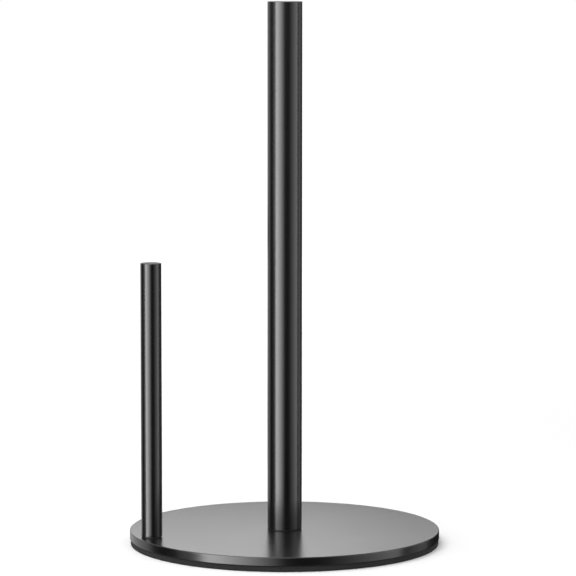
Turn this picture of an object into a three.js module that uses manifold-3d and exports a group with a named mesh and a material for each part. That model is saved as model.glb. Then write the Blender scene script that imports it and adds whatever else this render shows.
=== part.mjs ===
// A free-standing paper towel holder. A steel disc on a non-slip pad carries two upright posts: a tall pole in
// the middle that the roll drops over, and a short tear bar near the rim that stops the roll from running on.
// Each post is a tube closed by a flush cap, and is held from below by a countersunk screw in a tapped foot plug.
//
// Millimetres, +Z up. The origin is the centre of the pad's underside, and the tear bar stands on the -X side.
import * as THREE from "three";
import { mergeVertices } from "three/addons/utils/BufferGeometryUtils.js";
import Module from "manifold-3d";

const wasm = await Module();
wasm.setup();

// ---------------------------------------------------------------- driving dimensions

const plate = { diameter: 180, thickness: 5, topRound: 0.6, bottomRound: 0.4 };
const pad = { inset: 0.4, thickness: 3, edgeRound: 0.4, keyRoom: 1 };
const adhesive = { inset: 1, thickness: 0.25, holeInset: 0.6 };

// A post's height runs from the plate's top face to the post's top face.
const pole = {
  diameter: 20,
  wall: 1.2,
  height: 306,
  edgeRound: 0.6,
  capDepth: 6,
  plugLength: 16,
  washer: { thickness: 0.5, inset: 0.5 },
  screw: { thread: 6, length: 16, headDiameter: 12, headAngle: 90, rim: 0.3, hexAcrossFlats: 4, hexDepth: 2.3 },
};
const tearBar = {
  diameter: 12,
  wall: 1,
  height: 158,
  rimMargin: 3,
  edgeRound: 0.5,
  capDepth: 5,
  plugLength: 14,
  washer: { thickness: 0.5, inset: 0.4 },
  screw: { thread: 5, length: 14, headDiameter: 10, headAngle: 90, rim: 0.3, hexAcrossFlats: 3, hexDepth: 1.9 },
};

// Clearances
const seatGap = 0.02; // between two faces that rest on each other
const sleeveGap = 0.1; // radial, between a tube's bore and what is pressed into it
const threadGap = 0.1; // radial, between a screw's thread and its tapped hole
const shankGap = 0.3; // radial, between a screw and the plain hole it passes through
const headGap = 0.15; // between a screw's head and its countersink, and below the plate's underside

// Where the layers and the tear bar stand
const filmBottom = pad.thickness + seatGap;
const plateBottom = filmBottom + adhesive.thickness + seatGap;
const plateTop = plateBottom + plate.thickness;
const tearBarX = -(plate.diameter / 2 - tearBar.rimMargin - tearBar.diameter / 2);

// Facets around a full turn
const discFacets = 96;
const postFacets = 48;
const screwFacets = 32;
const roundSteps = 2; // half the number of straight steps in one rounded edge

// ---------------------------------------------------------------- materials

const satinBlack = new THREE.MeshStandardMaterial({ color: 0x1b1b1c, roughness: 0.3, metalness: 0 });
const foamRubber = new THREE.MeshStandardMaterial({ color: 0x303031, roughness: 0.9, metalness: 0 });
const adhesiveFilm = new THREE.MeshStandardMaterial({ color: 0x1d1d1d, roughness: 0.7, metalness: 0 });
const nylon = new THREE.MeshStandardMaterial({ color: 0x111112, roughness: 0.55, metalness: 0 });
const turnedSteel = new THREE.MeshStandardMaterial({ color: 0xa9a9a6, roughness: 0.35, metalness: 1 });

// ---------------------------------------------------------------- shapes

// A body of revolution about +Z from an outline in (radius, height).
function revolve(outline, facets) {
  const geometry = new THREE.LatheGeometry(outline, facets);
  geometry.rotateX(Math.PI / 2);
  return geometry;
}

// A disc, or a ring if it has a bore, standing on z = 0, with its outer edges rounded.
function disc({ radius, thickness, bore = 0, topRound = 0, bottomRound = 0, facets }) {
  const outline = new THREE.Path();
  outline.moveTo(bore, 0);
  outline.lineTo(radius - bottomRound, 0);
  if (bottomRound > 0) outline.absarc(radius - bottomRound, bottomRound, bottomRound, -Math.PI / 2, 0);
  outline.lineTo(radius, thickness - topRound);
  if (topRound > 0) outline.absarc(radius - topRound, thickness - topRound, topRound, 0, Math.PI / 2);
  outline.lineTo(bore, thickness);
  if (bore > 0) outline.lineTo(bore, 0);
  return revolve(outline.getPoints(roundSteps), facets);
}

// The depth of a countersunk head, from its flat face to the shank.
function headDepth(screw) {
  const slope = Math.tan(THREE.MathUtils.degToRad(screw.headAngle / 2));
  return screw.rim + (screw.headDiameter - screw.thread) / 2 / slope;
}

// A countersunk screw pointing up, with its head's flat face on z = 0, before its socket is cut.
function screwBlank(screw) {
  const shank = screw.thread / 2;
  const head = screw.headDiameter / 2;
  const chamfer = shank / 4;
  const outline = [
    [0, 0],
    [head, 0],
    [head, screw.rim],
    [shank, headDepth(screw)],
    [shank, screw.length - chamfer],
    [shank - chamfer, screw.length],
    [0, screw.length],
  ].map(([radius, height]) => new THREE.Vector2(radius, height));
  return revolve(outline, screwFacets);
}

// The hexagonal socket's cutter, which runs past the head's face and ends in the drill's cone.
function socketCutter(screw) {
  const corner = screw.hexAcrossFlats / Math.sqrt(3);
  const cone = corner * Math.tan(Math.PI / 6);
  const outline = [
    [0, -1],
    [corner, -1],
    [corner, screw.hexDepth],
    [0, screw.hexDepth + cone],
  ].map(([radius, height]) => new THREE.Vector2(radius, height));
  return revolve(outline, 6);
}

// The hole that a screw leaves in the plate, from below: a countersink that narrows to a plain hole.
function countersinkCutter(screw, thickness) {
  const hole = screw.thread / 2 + shankGap;
  const mouth = screw.headDiameter / 2 + headGap;
  const seat = headGap + headDepth(screw);
  const outline = [
    [0, -1],
    [mouth, -1],
    [mouth, headGap + screw.rim],
    [hole, seat],
    [hole, thickness + 1],
    [0, thickness + 1],
  ].map(([radius, height]) => new THREE.Vector2(radius, height));
  return revolve(outline, screwFacets);
}

// A plain round hole's cutter through a sheet that stands on z = 0.
function roundCutter(radius, thickness) {
  return disc({ radius, thickness: thickness + 2, facets: screwFacets }).translate(0, 0, -1);
}

// ---------------------------------------------------------------- cutting

function solidOf(geometry) {
  const bare = new THREE.BufferGeometry();
  bare.setAttribute("position", geometry.getAttribute("position"));
  bare.setIndex(geometry.index);
  const merged = mergeVertices(bare, 1e-4);
  const mesh = new wasm.Mesh({
    numProp: 3,
    vertProperties: merged.getAttribute("position").array,
    triVerts: new Uint32Array(merged.index.array),
  });
  return new wasm.Manifold(mesh);
}

function geometryOf(solid) {
  const mesh = solid.getMesh();
  const geometry = new THREE.BufferGeometry();
  geometry.setAttribute("position", new THREE.BufferAttribute(mesh.vertProperties, 3));
  geometry.setIndex(new THREE.BufferAttribute(mesh.triVerts, 1));
  geometry.computeVertexNormals();
  return geometry;
}

function cut(blank, cutters) {
  const remains = cutters.reduce((rest, cutter) => rest.subtract(solidOf(cutter)), solidOf(blank));
  return geometryOf(remains);
}

// ---------------------------------------------------------------- assembly

function piece(name, geometry, material, z = 0) {
  const mesh = new THREE.Mesh(geometry, material);
  mesh.name = name;
  mesh.position.z = z;
  return mesh;
}

// A tube with its cap, foot plug, washer and screw. Its own z = 0 is the plate's top face.
function makePost(name, post) {
  const group = new THREE.Group();
  const radius = post.diameter / 2;
  const fill = radius - post.wall - sleeveGap;
  const foot = post.washer.thickness + 2 * seatGap;
  const tubeLength = post.height - foot;

  const tube = disc({
    radius,
    bore: radius - post.wall,
    thickness: tubeLength,
    topRound: post.edgeRound,
    bottomRound: post.edgeRound / 2,
    facets: postFacets,
  });
  const cap = disc({ radius: fill, thickness: post.capDepth, bottomRound: post.edgeRound, facets: postFacets });
  const plug = disc({
    radius: fill,
    bore: post.screw.thread / 2 + threadGap,
    thickness: post.plugLength,
    topRound: post.edgeRound,
    facets: postFacets,
  });
  const washer = disc({
    radius: radius - post.washer.inset,
    bore: post.screw.thread / 2 + shankGap,
    thickness: post.washer.thickness,
    facets: postFacets,
  });
  const screw = cut(screwBlank(post.screw), [socketCutter(post.screw)]);

  group.add(
    piece(`${name}_tube`, tube, satinBlack, foot),
    piece(`${name}_cap`, cap, satinBlack, post.height - post.capDepth),
    piece(`${name}_foot_plug`, plug, turnedSteel, foot),
    piece(`${name}_washer`, washer, nylon, seatGap),
    piece(`${name}_screw`, screw, turnedSteel, headGap - plate.thickness),
  );
  return group;
}

// The disc, the glue film and the pad, with a screw hole at each place in holes: { screw, x }.
function makeBase(holes) {
  const group = new THREE.Group();
  const radius = plate.diameter / 2;
  const keyHole = ({ screw }) => screw.headDiameter / 2 + pad.keyRoom;
  const at = (hole, cutter) => cutter.translate(hole.x, 0, 0);

  const plateBlank = disc({ radius, ...plate, facets: discFacets });
  const filmBlank = disc({ radius: radius - adhesive.inset, thickness: adhesive.thickness, facets: discFacets });
  const padBlank = disc({
    radius: radius - pad.inset,
    thickness: pad.thickness,
    topRound: pad.edgeRound,
    bottomRound: pad.edgeRound,
    facets: discFacets,
  });

  const plateCutters = holes.map((hole) => at(hole, countersinkCutter(hole.screw, plate.thickness)));
  const padCutters = holes.map((hole) => at(hole, roundCutter(keyHole(hole), pad.thickness)));
  const filmCutters = holes.map((hole) =>
    at(hole, roundCutter(keyHole(hole) + adhesive.holeInset, adhesive.thickness)),
  );

  group.add(
    piece("base_pad", cut(padBlank, padCutters), foamRubber),
    piece("pad_adhesive", cut(filmBlank, filmCutters), adhesiveFilm, filmBottom),
    piece("base_plate", cut(plateBlank, plateCutters), satinBlack, plateBottom),
  );
  return group;
}

const holder = new THREE.Group();
holder.add(
  makeBase([
    { screw: pole.screw, x: 0 },
    { screw: tearBar.screw, x: tearBarX },
  ]),
);

const polePost = makePost("pole", pole);
polePost.position.z = plateTop;
holder.add(polePost);

const tearBarPost = makePost("tear_bar", tearBar);
tearBarPost.position.set(tearBarX, 0, plateTop);
holder.add(tearBarPost);

export default holder;
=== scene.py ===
"""A free-standing paper towel holder: a steel disc on a non-slip pad, a tall pole and a short tear bar.

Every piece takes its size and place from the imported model. Metres, +Z up, with the tear bar on the -X side.
"""

from math import cos, hypot, pi, radians, sin, tan

import bmesh
import bpy
from mathutils import Matrix, Vector


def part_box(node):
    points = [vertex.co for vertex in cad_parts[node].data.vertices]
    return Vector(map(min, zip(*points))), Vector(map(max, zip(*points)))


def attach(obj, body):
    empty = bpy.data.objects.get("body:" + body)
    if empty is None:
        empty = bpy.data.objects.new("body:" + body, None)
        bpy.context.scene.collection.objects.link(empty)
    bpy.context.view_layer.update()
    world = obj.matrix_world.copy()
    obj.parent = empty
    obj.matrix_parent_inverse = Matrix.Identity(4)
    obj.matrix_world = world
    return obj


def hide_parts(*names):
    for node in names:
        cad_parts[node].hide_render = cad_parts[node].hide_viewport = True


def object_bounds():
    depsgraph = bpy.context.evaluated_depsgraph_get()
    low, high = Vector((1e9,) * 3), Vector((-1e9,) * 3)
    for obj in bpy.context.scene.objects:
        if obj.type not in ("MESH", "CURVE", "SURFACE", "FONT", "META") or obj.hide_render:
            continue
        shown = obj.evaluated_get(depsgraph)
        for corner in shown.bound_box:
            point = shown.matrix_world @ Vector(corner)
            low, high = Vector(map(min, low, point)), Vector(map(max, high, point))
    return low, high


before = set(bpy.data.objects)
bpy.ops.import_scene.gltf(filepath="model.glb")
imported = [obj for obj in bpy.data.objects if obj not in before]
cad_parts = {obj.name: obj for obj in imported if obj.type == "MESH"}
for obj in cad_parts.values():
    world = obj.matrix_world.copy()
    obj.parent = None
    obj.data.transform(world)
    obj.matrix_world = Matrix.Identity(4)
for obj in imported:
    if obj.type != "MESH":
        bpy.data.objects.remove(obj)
cad_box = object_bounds()

MM = 0.001

# The holder is seen with its tear bar turned this far towards the camera.
VIEW_TURN = radians(19.682)

# ------------------------------------------------------------------ camera

CAMERA_LENS = 202.89
CAMERA_SENSOR = 36
CAMERA_PLACE = (1.13 * MM, -1866.04 * MM, 354.20 * MM)
CAMERA_TILT = radians(6.272)  # downwards
CAMERA_HEADING = radians(-0.023)
CAMERA_ROLL = radians(0.039)


def make_camera():
    """A long lens straight in front of the pole and a little above its top."""
    data = bpy.data.cameras.new("camera")
    data.lens = CAMERA_LENS
    data.sensor_width = CAMERA_SENSOR
    data.clip_start = 0.1
    data.clip_end = 50
    camera = bpy.data.objects.new("camera", data)
    bpy.context.scene.collection.objects.link(camera)
    stand = Matrix.Translation(CAMERA_PLACE)
    heading = Matrix.Rotation(CAMERA_HEADING, 4, "Z")
    tilt = Matrix.Rotation(radians(90) - CAMERA_TILT, 4, "X")
    roll = Matrix.Rotation(CAMERA_ROLL, 4, "Z")
    camera.matrix_world = Matrix.Rotation(-VIEW_TURN, 4, "Z") @ stand @ heading @ tilt @ roll
    bpy.context.scene.camera = camera


# ------------------------------------------------------------------ shader trees


class Value:
    """An output socket of a shader tree. Arithmetic on it adds Math nodes."""

    def __init__(self, tree, socket):
        self.tree = tree
        self.socket = socket

    def beside(self, name):
        """Another output of the same node."""
        return Value(self.tree, self.socket.node.outputs[name])

    def math(self, operation, first, second):
        return self.tree.node("Math", {"operation": operation}, {0: first, 1: second})

    def __add__(self, other):
        return self.math("ADD", self, other)

    def __radd__(self, other):
        return self.math("ADD", other, self)

    def __sub__(self, other):
        return self.math("SUBTRACT", self, other)

    def __rsub__(self, other):
        return self.math("SUBTRACT", other, self)

    def __mul__(self, other):
        return self.math("MULTIPLY", self, other)

    def __rmul__(self, other):
        return self.math("MULTIPLY", other, self)

    def above(self, low, high):
        """0 below low, 1 above high, and smooth between them."""
        limits = {"From Min": low, "From Max": high}
        return self.tree.node("MapRange", {"interpolation_type": "SMOOTHSTEP"}, {"Value": self, **limits})


class Tree:
    """The shader tree of a material or a world."""

    def __init__(self, owner):
        owner.use_nodes = True
        self.tree = owner.node_tree
        self.tree.nodes.clear()

    def node(self, kind, settings=None, inputs=None, output=0):
        """Adds a node, makes its settings, fills its sockets, and gives one of its outputs."""
        made = self.tree.nodes.new("ShaderNode" + kind)
        for name, setting in (settings or {}).items():
            setattr(made, name, setting)
        for name, value in (inputs or {}).items():
            if isinstance(value, Value):
                self.tree.links.new(value.socket, made.inputs[name])
            else:
                made.inputs[name].default_value = value
        return Value(self, made.outputs[output]) if made.outputs else made

    def blend(self, first, second, share):
        """One colour, mixed towards a second by a share."""
        return self.node("Mix", {"data_type": "RGBA"}, {0: share, 6: first, 7: second}, output=2)

    def finish(self, shader, kind="Material"):
        self.node("Output" + kind, inputs={"Surface": shader})


class Finish(Tree):
    """A material with one Principled surface, whose patterns are sized in metres on the object."""

    def __init__(self, name):
        self.material = bpy.data.materials.new(name)
        super().__init__(self.material)
        self.place = self.node("TexCoord", output="Object")

    def noise(self, size, detail):
        """Cloudy noise whose blotches are about this far apart."""
        return self.node("TexNoise", inputs={"Vector": self.place, "Scale": 1 / size, "Detail": detail})

    def cells(self, size):
        """Small round cells, 0 at each one's middle."""
        return self.node("TexVoronoi", inputs={"Vector": self.place, "Scale": 1 / size}, output="Distance")

    def grey(self, level, tint=(1, 1, 1)):
        return (level * tint[0], level * tint[1], level * tint[2], 1)

    def surface(self, height, depth, **sockets):
        """Ends the tree: the Principled sockets by name, and a relief of this depth from a height."""
        relief = self.node("Bump", inputs={"Strength": 1.0, "Distance": depth, "Height": height})
        named = {name.replace("_", " "): value for name, value in sockets.items()}
        self.finish(self.node("BsdfPrincipled", inputs={"Normal": relief, **named}))
        return self.material


# ------------------------------------------------------------------ finishes


def satin_black_coat():
    """Baked satin powder coat: even black with a slight orange peel and a few duller clouds."""
    coat = Finish("satin_black_coat")
    clouds = coat.noise(28 * MM, detail=3)
    peel = coat.noise(1.3 * MM, detail=1)
    grain = coat.noise(0.22 * MM, detail=1)
    colour = coat.blend(coat.grey(0.004), coat.grey(0.006, (1, 1, 1.04)), clouds)
    return coat.surface(
        peel + grain * 0.12,
        0.004 * MM,
        Base_Color=colour,
        Roughness=0.225 + clouds * 0.04,
        IOR=1.5,
    )


def foam_rubber():
    """Cut closed-cell rubber: matt, finely pitted and dusty in places, with painted shade that darkens the
    cell pits and leaves the raised walls paler.
    """
    rubber = Finish("foam_rubber")
    cells = rubber.cells(0.5 * MM)
    pores = rubber.cells(1.9 * MM).above(0.12, 0.3)
    fine = rubber.noise(0.16 * MM, detail=2)
    dust = rubber.noise(16 * MM, detail=4).above(0.42, 0.75)
    # Painted shade: the colour darkens towards each cell's middle, where the relief is lowest, and pales on
    # the raised walls.
    pit_shaded = rubber.blend(rubber.grey(0.007), rubber.grey(0.030, (1, 1, 1.02)), cells * 0.75 + fine * 0.25)
    colour = rubber.blend(pit_shaded, rubber.grey(0.034, (1.04, 1, 0.96)), dust * 0.4)
    return rubber.surface(
        cells * 0.7 + fine * 0.3 + pores * 0.8,
        0.09 * MM,
        Base_Color=colour,
        Roughness=0.8 + fine * 0.14,
        Specular_IOR_Level=0.25,
    )


def adhesive_film():
    """Double-sided film between the disc and the pad, with a slightly drawn surface."""
    film = Finish("adhesive_film")
    drawn = film.noise(1.6 * MM, detail=3)
    colour = film.blend(film.grey(0.006), film.grey(0.014), drawn)
    return film.surface(
        drawn,
        0.02 * MM,
        Base_Color=colour,
        Roughness=0.5 + drawn * 0.2,
        Specular_IOR_Level=0.3,
    )


def black_nylon():
    """Moulded nylon, dull with a fine spark-eroded grain."""
    nylon = Finish("black_nylon")
    grain = nylon.noise(0.12 * MM, detail=2)
    flow = nylon.noise(5 * MM, detail=2)
    colour = nylon.blend(nylon.grey(0.004), nylon.grey(0.008), flow)
    return nylon.surface(grain, 0.01 * MM, Base_Color=colour, Roughness=0.48 + grain * 0.14, IOR=1.53)


def turned_steel(name, axis):
    """Zinc-plated steel with the rings that turning leaves about its axis."""
    steel = Finish(name)
    centred = steel.node("Mapping", {"vector_type": "POINT"}, {"Vector": steel.place, "Location": -axis})
    across = steel.node("VectorMath", {"operation": "MULTIPLY"}, {0: centred, 1: (1, 1, 0)})
    radius = steel.node("VectorMath", {"operation": "LENGTH"}, {0: across}, output="Value")
    rings = steel.node("Math", {"operation": "SINE"}, {0: radius * (2 * pi / (0.16 * MM))})
    clouds = steel.noise(1.8 * MM, detail=4)
    colour = steel.blend(steel.grey(0.50, (1, 0.98, 0.94)), steel.grey(0.62, (0.97, 0.99, 1)), clouds)
    return steel.surface(
        rings * 0.5 + clouds,
        0.004 * MM,
        Base_Color=colour,
        Roughness=0.26 + clouds * 0.16,
        Metallic=1.0,
    )


# ------------------------------------------------------------------ making pieces

TOUCH = 0.001 * MM
SLEEVE = 0.1 * MM  # radial, between a tube's bore and what is pressed into it
SHANK_ROOM = 0.3 * MM  # radial, between a screw and the plain hole it passes through
THREAD_ROOM = 0.1 * MM  # radial, between a screw and its tapped hole
HEAD_ROOM = 0.15 * MM  # radial, between a screw's head and the mouth of its countersink
HEAD_RIM = 0.3 * MM  # the height of the straight rim round a screw's head
KEY_ROOM = 1 * MM  # radial, between a screw's head and the key hole in the pad
FILM_ROOM = 0.6 * MM  # radial, from the pad's key hole out to the film's
SOCKET_DEPTH = 0.57  # of the key's size
SUPPORT = 1.5  # how far along the straight a rounding's supporting point lies, in roundings

DISC_FACETS = 256
POST_FACETS = 96
SCREW_FACETS = 64
HEXAGON = 6


class Place:
    """Where a round CAD node stands: its axis, radius, foot and top."""

    def __init__(self, node):
        low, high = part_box(node)
        self.axis = Vector(((low.x + high.x) / 2, (low.y + high.y) / 2, 0))
        self.radius = (high.x - low.x) / 2
        self.foot = low.z
        self.top = high.z


def supported(corners):
    """The points of (radius, height, rounding) corners, and one on each straight beside a rounding."""
    outline = []
    count = len(corners)
    for number, (radius, height, rounding) in enumerate(corners):
        here = Vector((radius, height))
        before = Vector(corners[number - 1][:2])
        after = Vector(corners[(number + 1) % count][:2])
        if rounding:
            outline.append(here + (before - here).normalized() * rounding * SUPPORT)
        outline.append(here)
        if rounding:
            outline.append(here + (after - here).normalized() * rounding * SUPPORT)
    return outline


def ring(bm, axis, radius, height):
    """The edges that run round an axis at this radius and height."""

    def on(vert):
        out = hypot(vert.co.x - axis.x, vert.co.y - axis.y)
        return abs(out - radius) < TOUCH and abs(vert.co.z - height) < TOUCH

    return [edge for edge in bm.edges if on(edge.verts[0]) and on(edge.verts[1])]


def round_over(bm, axis, corners, segments=6):
    """Rounds every ring of the outline that has a rounding."""
    for radius, height, rounding in corners:
        if rounding:
            bmesh.ops.bevel(
                bm,
                geom=ring(bm, axis, radius, height),
                offset=rounding,
                segments=segments,
                profile=0.5,
                affect="EDGES",
                material=-1,
            )


def sweep(bm, axis, points, facets, closed=False):
    """Turns an outline of (radius, height) points about the axis."""
    verts = [bm.verts.new((axis.x + radius, axis.y, height)) for radius, height in points]
    edges = [bm.edges.new(pair) for pair in zip(verts, verts[1:] + verts[:1] * closed)]
    bmesh.ops.spin(
        bm,
        geom=verts + edges,
        cent=axis,
        axis=(0, 0, 1),
        angle=2 * pi,
        steps=facets,
        use_merge=True,
    )
    bmesh.ops.remove_doubles(bm, verts=bm.verts, dist=TOUCH / 10)


def turn(bm, axis, corners, facets, closed):
    """A turned body: an outline of (radius, height, rounding) corners, swept and then rounded."""
    sweep(bm, axis, supported(corners), facets, closed)
    round_over(bm, axis, corners)


def drill(bm, walls):
    """A slab with an outer wall and the walls of its holes.

    Each wall is (axis, corners from the underside up, facets).
    """
    undersides, tops = [], []
    for axis, corners, facets in walls:
        points = supported(corners)
        sweep(bm, axis, points, facets)
        undersides += ring(bm, axis, *points[0])
        tops += ring(bm, axis, *points[-1])
    for rim in (undersides, tops):
        bmesh.ops.triangle_fill(bm, edges=rim, use_beauty=True)
    for axis, corners, _facets in walls:
        round_over(bm, axis, corners)


def piece(name, bm, material):
    """Makes the finished mesh an object that stands for the CAD node of the same name."""
    bmesh.ops.recalc_face_normals(bm, faces=bm.faces)
    for face in bm.faces:
        face.smooth = True
    mesh = bpy.data.meshes.new(name)
    bm.to_mesh(mesh)
    bm.free()
    mesh.set_sharp_from_angle(angle=radians(35))
    mesh.materials.append(material)
    made = bpy.data.objects.new(name + "_finished", mesh)
    bpy.context.scene.collection.objects.link(made)
    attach(made, "root")
    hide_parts(name)


# ------------------------------------------------------------------ base


def flat_rim(radius, height, rounding, inward):
    """A rounded corner with the flat's edge beside it: inward is -1 at an outer rim and 1 at a hole."""
    return (radius + inward * rounding * 2, height, 0), (radius, height, rounding)


def make_pad(holes, rubber):
    place = Place("base_pad")
    under = flat_rim(place.radius, place.foot, 0.2 * MM, -1)
    over = flat_rim(place.radius, place.top, 0.3 * MM, -1)
    walls = [(place.axis, [*under, *reversed(over)], DISC_FACETS)]
    for screw in holes:
        radius = screw.radius + KEY_ROOM
        under = flat_rim(radius, place.foot, 0.3 * MM, 1)
        over = flat_rim(radius, place.top, 0.1 * MM, 1)
        walls.append((screw.axis, [*under, *reversed(over)], SCREW_FACETS))
    bm = bmesh.new()
    drill(bm, walls)
    piece("base_pad", bm, rubber)


def make_film(holes, film):
    place = Place("pad_adhesive")
    walls = [(place.axis, [(place.radius, place.foot, 0), (place.radius, place.top, 0)], DISC_FACETS)]
    for screw in holes:
        radius = screw.radius + KEY_ROOM + FILM_ROOM
        walls.append((screw.axis, [(radius, place.foot, 0), (radius, place.top, 0)], SCREW_FACETS))
    bm = bmesh.new()
    drill(bm, walls)
    piece("pad_adhesive", bm, film)


def make_plate(holes, coat):
    """The steel disc, with a countersink for each screw in its underside."""
    place = Place("base_plate")
    under = flat_rim(place.radius, place.foot, 0.25 * MM, -1)
    over = flat_rim(place.radius, place.top, 0.6 * MM, -1)
    walls = [(place.axis, [*under, *reversed(over)], DISC_FACETS)]
    for screw in holes:
        mouth = screw.radius + HEAD_ROOM
        hole = screw.thread + SHANK_ROOM
        rim = screw.foot + HEAD_RIM
        seat = rim + (mouth - hole)
        wall = [(mouth, place.foot, 0), (mouth, rim, 0), (hole, seat, 0), (hole, place.top, 0)]
        walls.append((screw.axis, wall, SCREW_FACETS))
    bm = bmesh.new()
    drill(bm, walls)
    piece("base_plate", bm, coat)


# ------------------------------------------------------------------ posts


class Screw(Place):
    """A countersunk socket screw. Its thread radius and key size are those of its metric size."""

    def __init__(self, node, size, key):
        super().__init__(node)
        self.thread = size / 2 * MM
        self.key = key * MM


def make_tube(name, tube, bore, coat):
    corners = [
        (tube.radius, tube.foot, 0.12 * MM),
        (tube.radius, tube.top, 0.3 * MM),
        (bore, tube.top, 0.15 * MM),
        (bore, tube.foot, 0.15 * MM),
    ]
    bm = bmesh.new()
    turn(bm, tube.axis, corners, POST_FACETS, True)
    piece(name, bm, coat)


def make_cap(name, coat):
    cap = Place(name)
    corners = [
        (0, cap.foot, 0),
        (cap.radius, cap.foot, 0.4 * MM),
        (cap.radius, cap.top, 0.2 * MM),
        (0, cap.top, 0),
    ]
    bm = bmesh.new()
    turn(bm, cap.axis, corners, POST_FACETS, False)
    piece(name, bm, coat)


def make_washer(name, screw, nylon):
    washer = Place(name)
    bore = screw.thread + SHANK_ROOM
    corners = [
        (washer.radius, washer.foot, 0.06 * MM),
        (washer.radius, washer.top, 0.06 * MM),
        (bore, washer.top, 0.08 * MM),
        (bore, washer.foot, 0.08 * MM),
    ]
    bm = bmesh.new()
    turn(bm, washer.axis, corners, POST_FACETS, True)
    piece(name, bm, nylon)


def make_plug(name, screw, steel):
    plug = Place(name)
    bore = screw.thread + THREAD_ROOM
    chamfer = 0.4 * MM
    corners = [
        (plug.radius, plug.foot, 0.3 * MM),
        (plug.radius, plug.top, 0.5 * MM),
        (bore + chamfer, plug.top, 0),
        (bore, plug.top - chamfer, 0),
        (bore, plug.foot + chamfer, 0),
        (bore + chamfer, plug.foot, 0),
    ]
    bm = bmesh.new()
    turn(bm, plug.axis, corners, POST_FACETS, True)
    piece(name, bm, steel)


def make_screw(name, screw, steel):
    """The screw stands head down: its socket opens in the head's flat face."""
    chamfer = screw.thread / 4
    rim = screw.foot + HEAD_RIM
    neck = rim + (screw.radius - screw.thread)
    corner = screw.key / 2 / cos(pi / 6)
    depth = screw.foot + SOCKET_DEPTH * screw.key
    edge = 0.15 * MM
    outside = [
        (screw.radius - edge, screw.foot),
        (screw.radius, screw.foot + edge),
        (screw.radius, rim),
        (screw.thread, neck),
        (screw.thread, screw.top - chamfer),
        (screw.thread - chamfer, screw.top),
        (0, screw.top),
    ]
    socket = [
        (corner * 1.05, screw.foot),
        (corner, screw.foot + 0.05 * corner),
        (corner, depth),
        (0, depth + corner * tan(pi / 6)),
    ]
    bm = bmesh.new()
    sweep(bm, screw.axis, outside, SCREW_FACETS)
    sweep(bm, screw.axis, socket, HEXAGON)
    face = ring(bm, screw.axis, *outside[0]) + ring(bm, screw.axis, *socket[0])
    bmesh.ops.triangle_fill(bm, edges=face, use_beauty=True)
    piece(name, bm, steel)


def make_post(name, screw, coat, nylon):
    """A tube with its flush cap, and the washer, tapped plug and screw that hold it to the disc."""
    steel = turned_steel(name + "_turned_steel", screw.axis)
    make_tube(name + "_tube", Place(name + "_tube"), Place(name + "_cap").radius + SLEEVE, coat)
    make_cap(name + "_cap", coat)
    make_washer(name + "_washer", screw, nylon)
    make_plug(name + "_foot_plug", screw, steel)
    make_screw(name + "_screw", screw, steel)


# ------------------------------------------------------------------ studio

# Bearings are in degrees to the right of the camera, as seen from the holder: 180 is straight behind it.
SOFTBOX_DISTANCE = 1.2
FLAG_DISTANCE = SOFTBOX_DISTANCE * 0.98
CARD_DISTANCE = SOFTBOX_DISTANCE * 1.1
ROOM_DISTANCE = SOFTBOX_DISTANCE * 1.2
REACH = 0.8  # how far the sheets run above and below the floor, which doesn't show in the holder's gloss
SHORT_FOOT = -0.26  # where some of them end instead, so that the disc's edge sees less of them
WHITE = (1, 1, 1, 1)
AMBIENT = (0.6, 0.6, 0.6, 1)
FLOOR_GAP = 0.02 * MM  # between the floor and the pad
FLOOR_LIGHT = 0.5  # the floor's own light, far from the holder
FLOOR_NEAR = 0.2  # the share of it that is left close to the holder


def background_rays(tree):
    """1 for the rays that see the white background: the camera's, and those in gloss and glass."""
    rays = tree.node("LightPath", output="Is Camera Ray")
    indirect = rays.math("MAXIMUM", rays.beside("Is Glossy Ray"), rays.beside("Is Transmission Ray"))
    return rays.math("MAXIMUM", rays, indirect)


def make_world():
    """Plain soft light from all round, and a plain white background."""
    world = bpy.data.worlds.new("studio")
    bpy.context.scene.world = world
    tree = Tree(world)
    colour = tree.blend(AMBIENT, WHITE, background_rays(tree))
    tree.finish(tree.node("Background", inputs={"Color": colour, "Strength": 1.0}), "World")


def stage_sheet(name, bm, material):
    """A sheet of the studio, which isn't part of the holder."""
    mesh = bpy.data.meshes.new(name)
    bm.to_mesh(mesh)
    bm.free()
    mesh.materials.append(material)
    sheet = bpy.data.objects.new(name, mesh)
    bpy.context.scene.collection.objects.link(sheet)
    return sheet


def glow(tree, level, share=None, least=0.0):
    """White light of one strength. A share makes its colour run from a dark grey, least, to white."""
    colour = WHITE if share is None else tree.blend((least, least, least, 1), WHITE, share)
    return tree.node("Emission", inputs={"Color": colour, "Strength": level})


def make_floor():
    """A white floor that keeps the holder's shadow."""
    material = bpy.data.materials.new("floor")
    tree = Tree(material)
    paint = tree.node("BsdfDiffuse", inputs={"Color": (0.9, 0.9, 0.9, 1)})
    place = tree.node("TexCoord", output="Object")
    away = tree.node("VectorMath", {"operation": "LENGTH"}, {0: place}, output="Value")
    lift = FLOOR_NEAR + away.above(0.2, 1.6) * (1 - FLOOR_NEAR)
    light = glow(tree, FLOOR_LIGHT, background_rays(tree) * lift)
    tree.finish(tree.node("AddShader", inputs={0: paint, 1: light}))
    bm = bmesh.new()
    bmesh.ops.create_grid(bm, x_segments=1, y_segments=1, size=6)
    bmesh.ops.translate(bm, vec=(0, 0, cad_box[0].z - FLOOR_GAP), verts=bm.verts)
    floor = stage_sheet("floor", bm, material)
    floor.visible_glossy = False


def gloss_only(sheet):
    """Hides a sheet from everything but the holder's gloss."""
    sheet.visible_camera = False
    sheet.visible_diffuse = False
    sheet.visible_shadow = False


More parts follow.
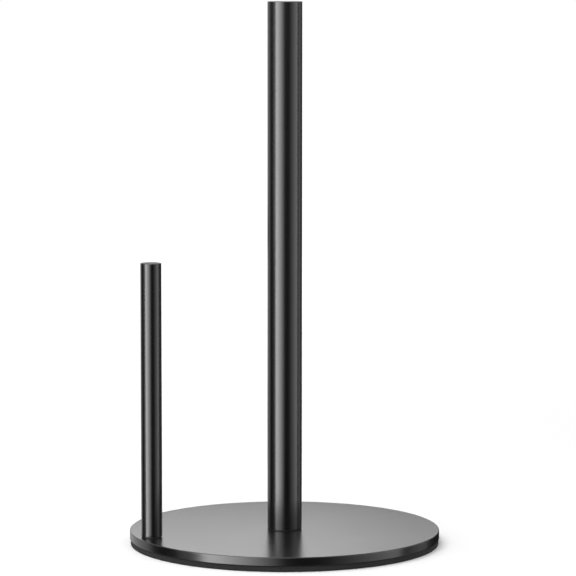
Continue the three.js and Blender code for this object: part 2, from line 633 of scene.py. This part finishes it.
def curved_sheet(name, start, end, distance, low, high, light):
    """An upright sheet curved round the holder between two bearings, which shows only in its gloss."""
    material = bpy.data.materials.new(name)
    tree = Tree(material)
    tree.finish(light(tree))
    bm = bmesh.new()
    verts = [bm.verts.new((0, -distance, height)) for height in (low, high)]
    edge = bm.edges.new(verts)
    bmesh.ops.rotate(bm, matrix=Matrix.Rotation(radians(start), 3, "Z"), verts=verts)
    bmesh.ops.spin(
        bm,
        geom=[*verts, edge],
        cent=(0, 0, 0),
        axis=(0, 0, 1),
        angle=radians(end - start),
        steps=round(abs(end - start)),
    )
    sheet = stage_sheet(name, bm, material)
    sheet.rotation_euler.z = -VIEW_TURN
    gloss_only(sheet)


def make_softbox(name, outer, inner, level, foot=-REACH):
    """A tall softbox, brightest at its outer side, whose scrim fades out towards the camera."""

    def graded(tree):
        place = tree.node("SeparateXYZ", inputs={"Vector": tree.node("TexCoord", output="Object")})
        bearing = place.math("ARCTAN2", place, place.beside("Y") * -1.0) * (180 / pi)
        return glow(tree, level, (bearing - inner) * (1 / (outer - inner)))

    start, end = sorted((outer, inner))
    curved_sheet(name, start, end, SOFTBOX_DISTANCE, foot, REACH, graded)


def make_card(name, start, end, level, foot=-REACH, head=REACH):
    """A dull card of even brightness, between the softboxes and the dark room."""
    curved_sheet(name, start, end, CARD_DISTANCE, foot, head, lambda tree: glow(tree, level))


def make_dark_room(start, end):
    """The unlit room, which keeps the white background out of the gloss except behind and higher up."""

    def dim(tree):
        place = tree.node("SeparateXYZ", inputs={"Vector": tree.node("TexCoord", output="Object")})
        return glow(tree, 0.72, place.beside("Z").above(0.1, 0.8), least=0.028)

    curved_sheet("dark_room", start, end, ROOM_DISTANCE, -REACH, REACH, dim)


def make_flag(name, start, end, distance, low, high, level):
    """A nearly black flag, which hides what is behind it from the gloss."""
    curved_sheet(name, start, end, distance, low, high, lambda tree: glow(tree, level))


def make_low_strip(width, depth, distance, height, level):
    """A level strip low behind the holder, lit underneath, which brightens the disc's top near the front."""
    material = bpy.data.materials.new("low_strip")
    tree = Tree(material)
    place = tree.node("SeparateXYZ", inputs={"Vector": tree.node("TexCoord", output="Object")})
    underside = 1 - tree.node("NewGeometry", output="Backfacing")
    to_the_right = place.above(0.0, 0.12)
    tree.finish(glow(tree, level, underside * (1 - to_the_right * 0.3)))
    bm = bmesh.new()
    bmesh.ops.create_grid(bm, x_segments=1, y_segments=1, size=0.5)
    bmesh.ops.scale(bm, vec=(width, depth, 1), verts=bm.verts)
    bmesh.ops.rotate(bm, matrix=Matrix.Rotation(pi, 3, "X"), verts=bm.verts)
    bmesh.ops.translate(bm, vec=(0, distance, height), verts=bm.verts)
    strip = stage_sheet("low_strip", bm, material)
    strip.rotation_euler.z = -VIEW_TURN
    gloss_only(strip)


def make_lamp(name, bearing, height, distance, size, watts):
    """A square overhead softbox that faces the holder."""
    data = bpy.data.lights.new(name, "AREA")
    data.shape = "SQUARE"
    data.size = size
    data.energy = watts
    lamp = bpy.data.objects.new(name, data)
    bpy.context.scene.collection.objects.link(lamp)
    turned = radians(bearing) - VIEW_TURN
    lamp.location = (sin(turned) * distance, -cos(turned) * distance, height)
    lamp.rotation_euler = (-lamp.location).to_track_quat("-Z", "Y").to_euler()
    lamp.visible_camera = False


# ------------------------------------------------------------------ the holder

make_camera()

pole_screw = Screw("pole_screw", size=6, key=4)
tear_bar_screw = Screw("tear_bar_screw", size=5, key=3)
screws = [pole_screw, tear_bar_screw]
black = satin_black_coat()
nylon = black_nylon()

make_pad(screws, foam_rubber())
make_film(screws, adhesive_film())
make_plate(screws, black)
make_post("pole", pole_screw, black, nylon)
make_post("tear_bar", tear_bar_screw, black, nylon)

make_floor()
make_world()
make_softbox("key_softbox", outer=-63, inner=-1, level=12.8, foot=-0.36)
make_softbox("fill_softbox", outer=92, inner=26, level=3.2, foot=SHORT_FOOT)
make_card("key_side_card", start=-82, end=-63, level=1.2, foot=SHORT_FOOT)
# This flag ends the key's streak on the disc's edge sooner than on the posts.
make_flag("key_flag", start=-70, end=-60, distance=FLAG_DISTANCE, low=-REACH, high=-0.18, level=0.05)
make_card("left_rim_card", start=-162, end=-114, level=0.75)
make_card("right_rim_card", start=102, end=128, level=0.8, foot=SHORT_FOOT)
make_dark_room(start=-172, end=172)
# This flag darkens the disc's top towards the back, and the dim band tones down the posts' top faces.
make_flag("low_flag", start=150, end=210, distance=0.3, low=0, high=0.052, level=0.02)
make_low_strip(width=0.6, depth=0.42, distance=0.5, height=0.14, level=2.15)
make_card("dim_band", start=165, end=195, level=0.3, foot=0.16, head=0.42)
make_lamp("top_softbox", bearing=-75, height=1.2, distance=0.4, size=1.0, watts=10)

bpy.context.scene.view_settings.view_transform = "Standard"
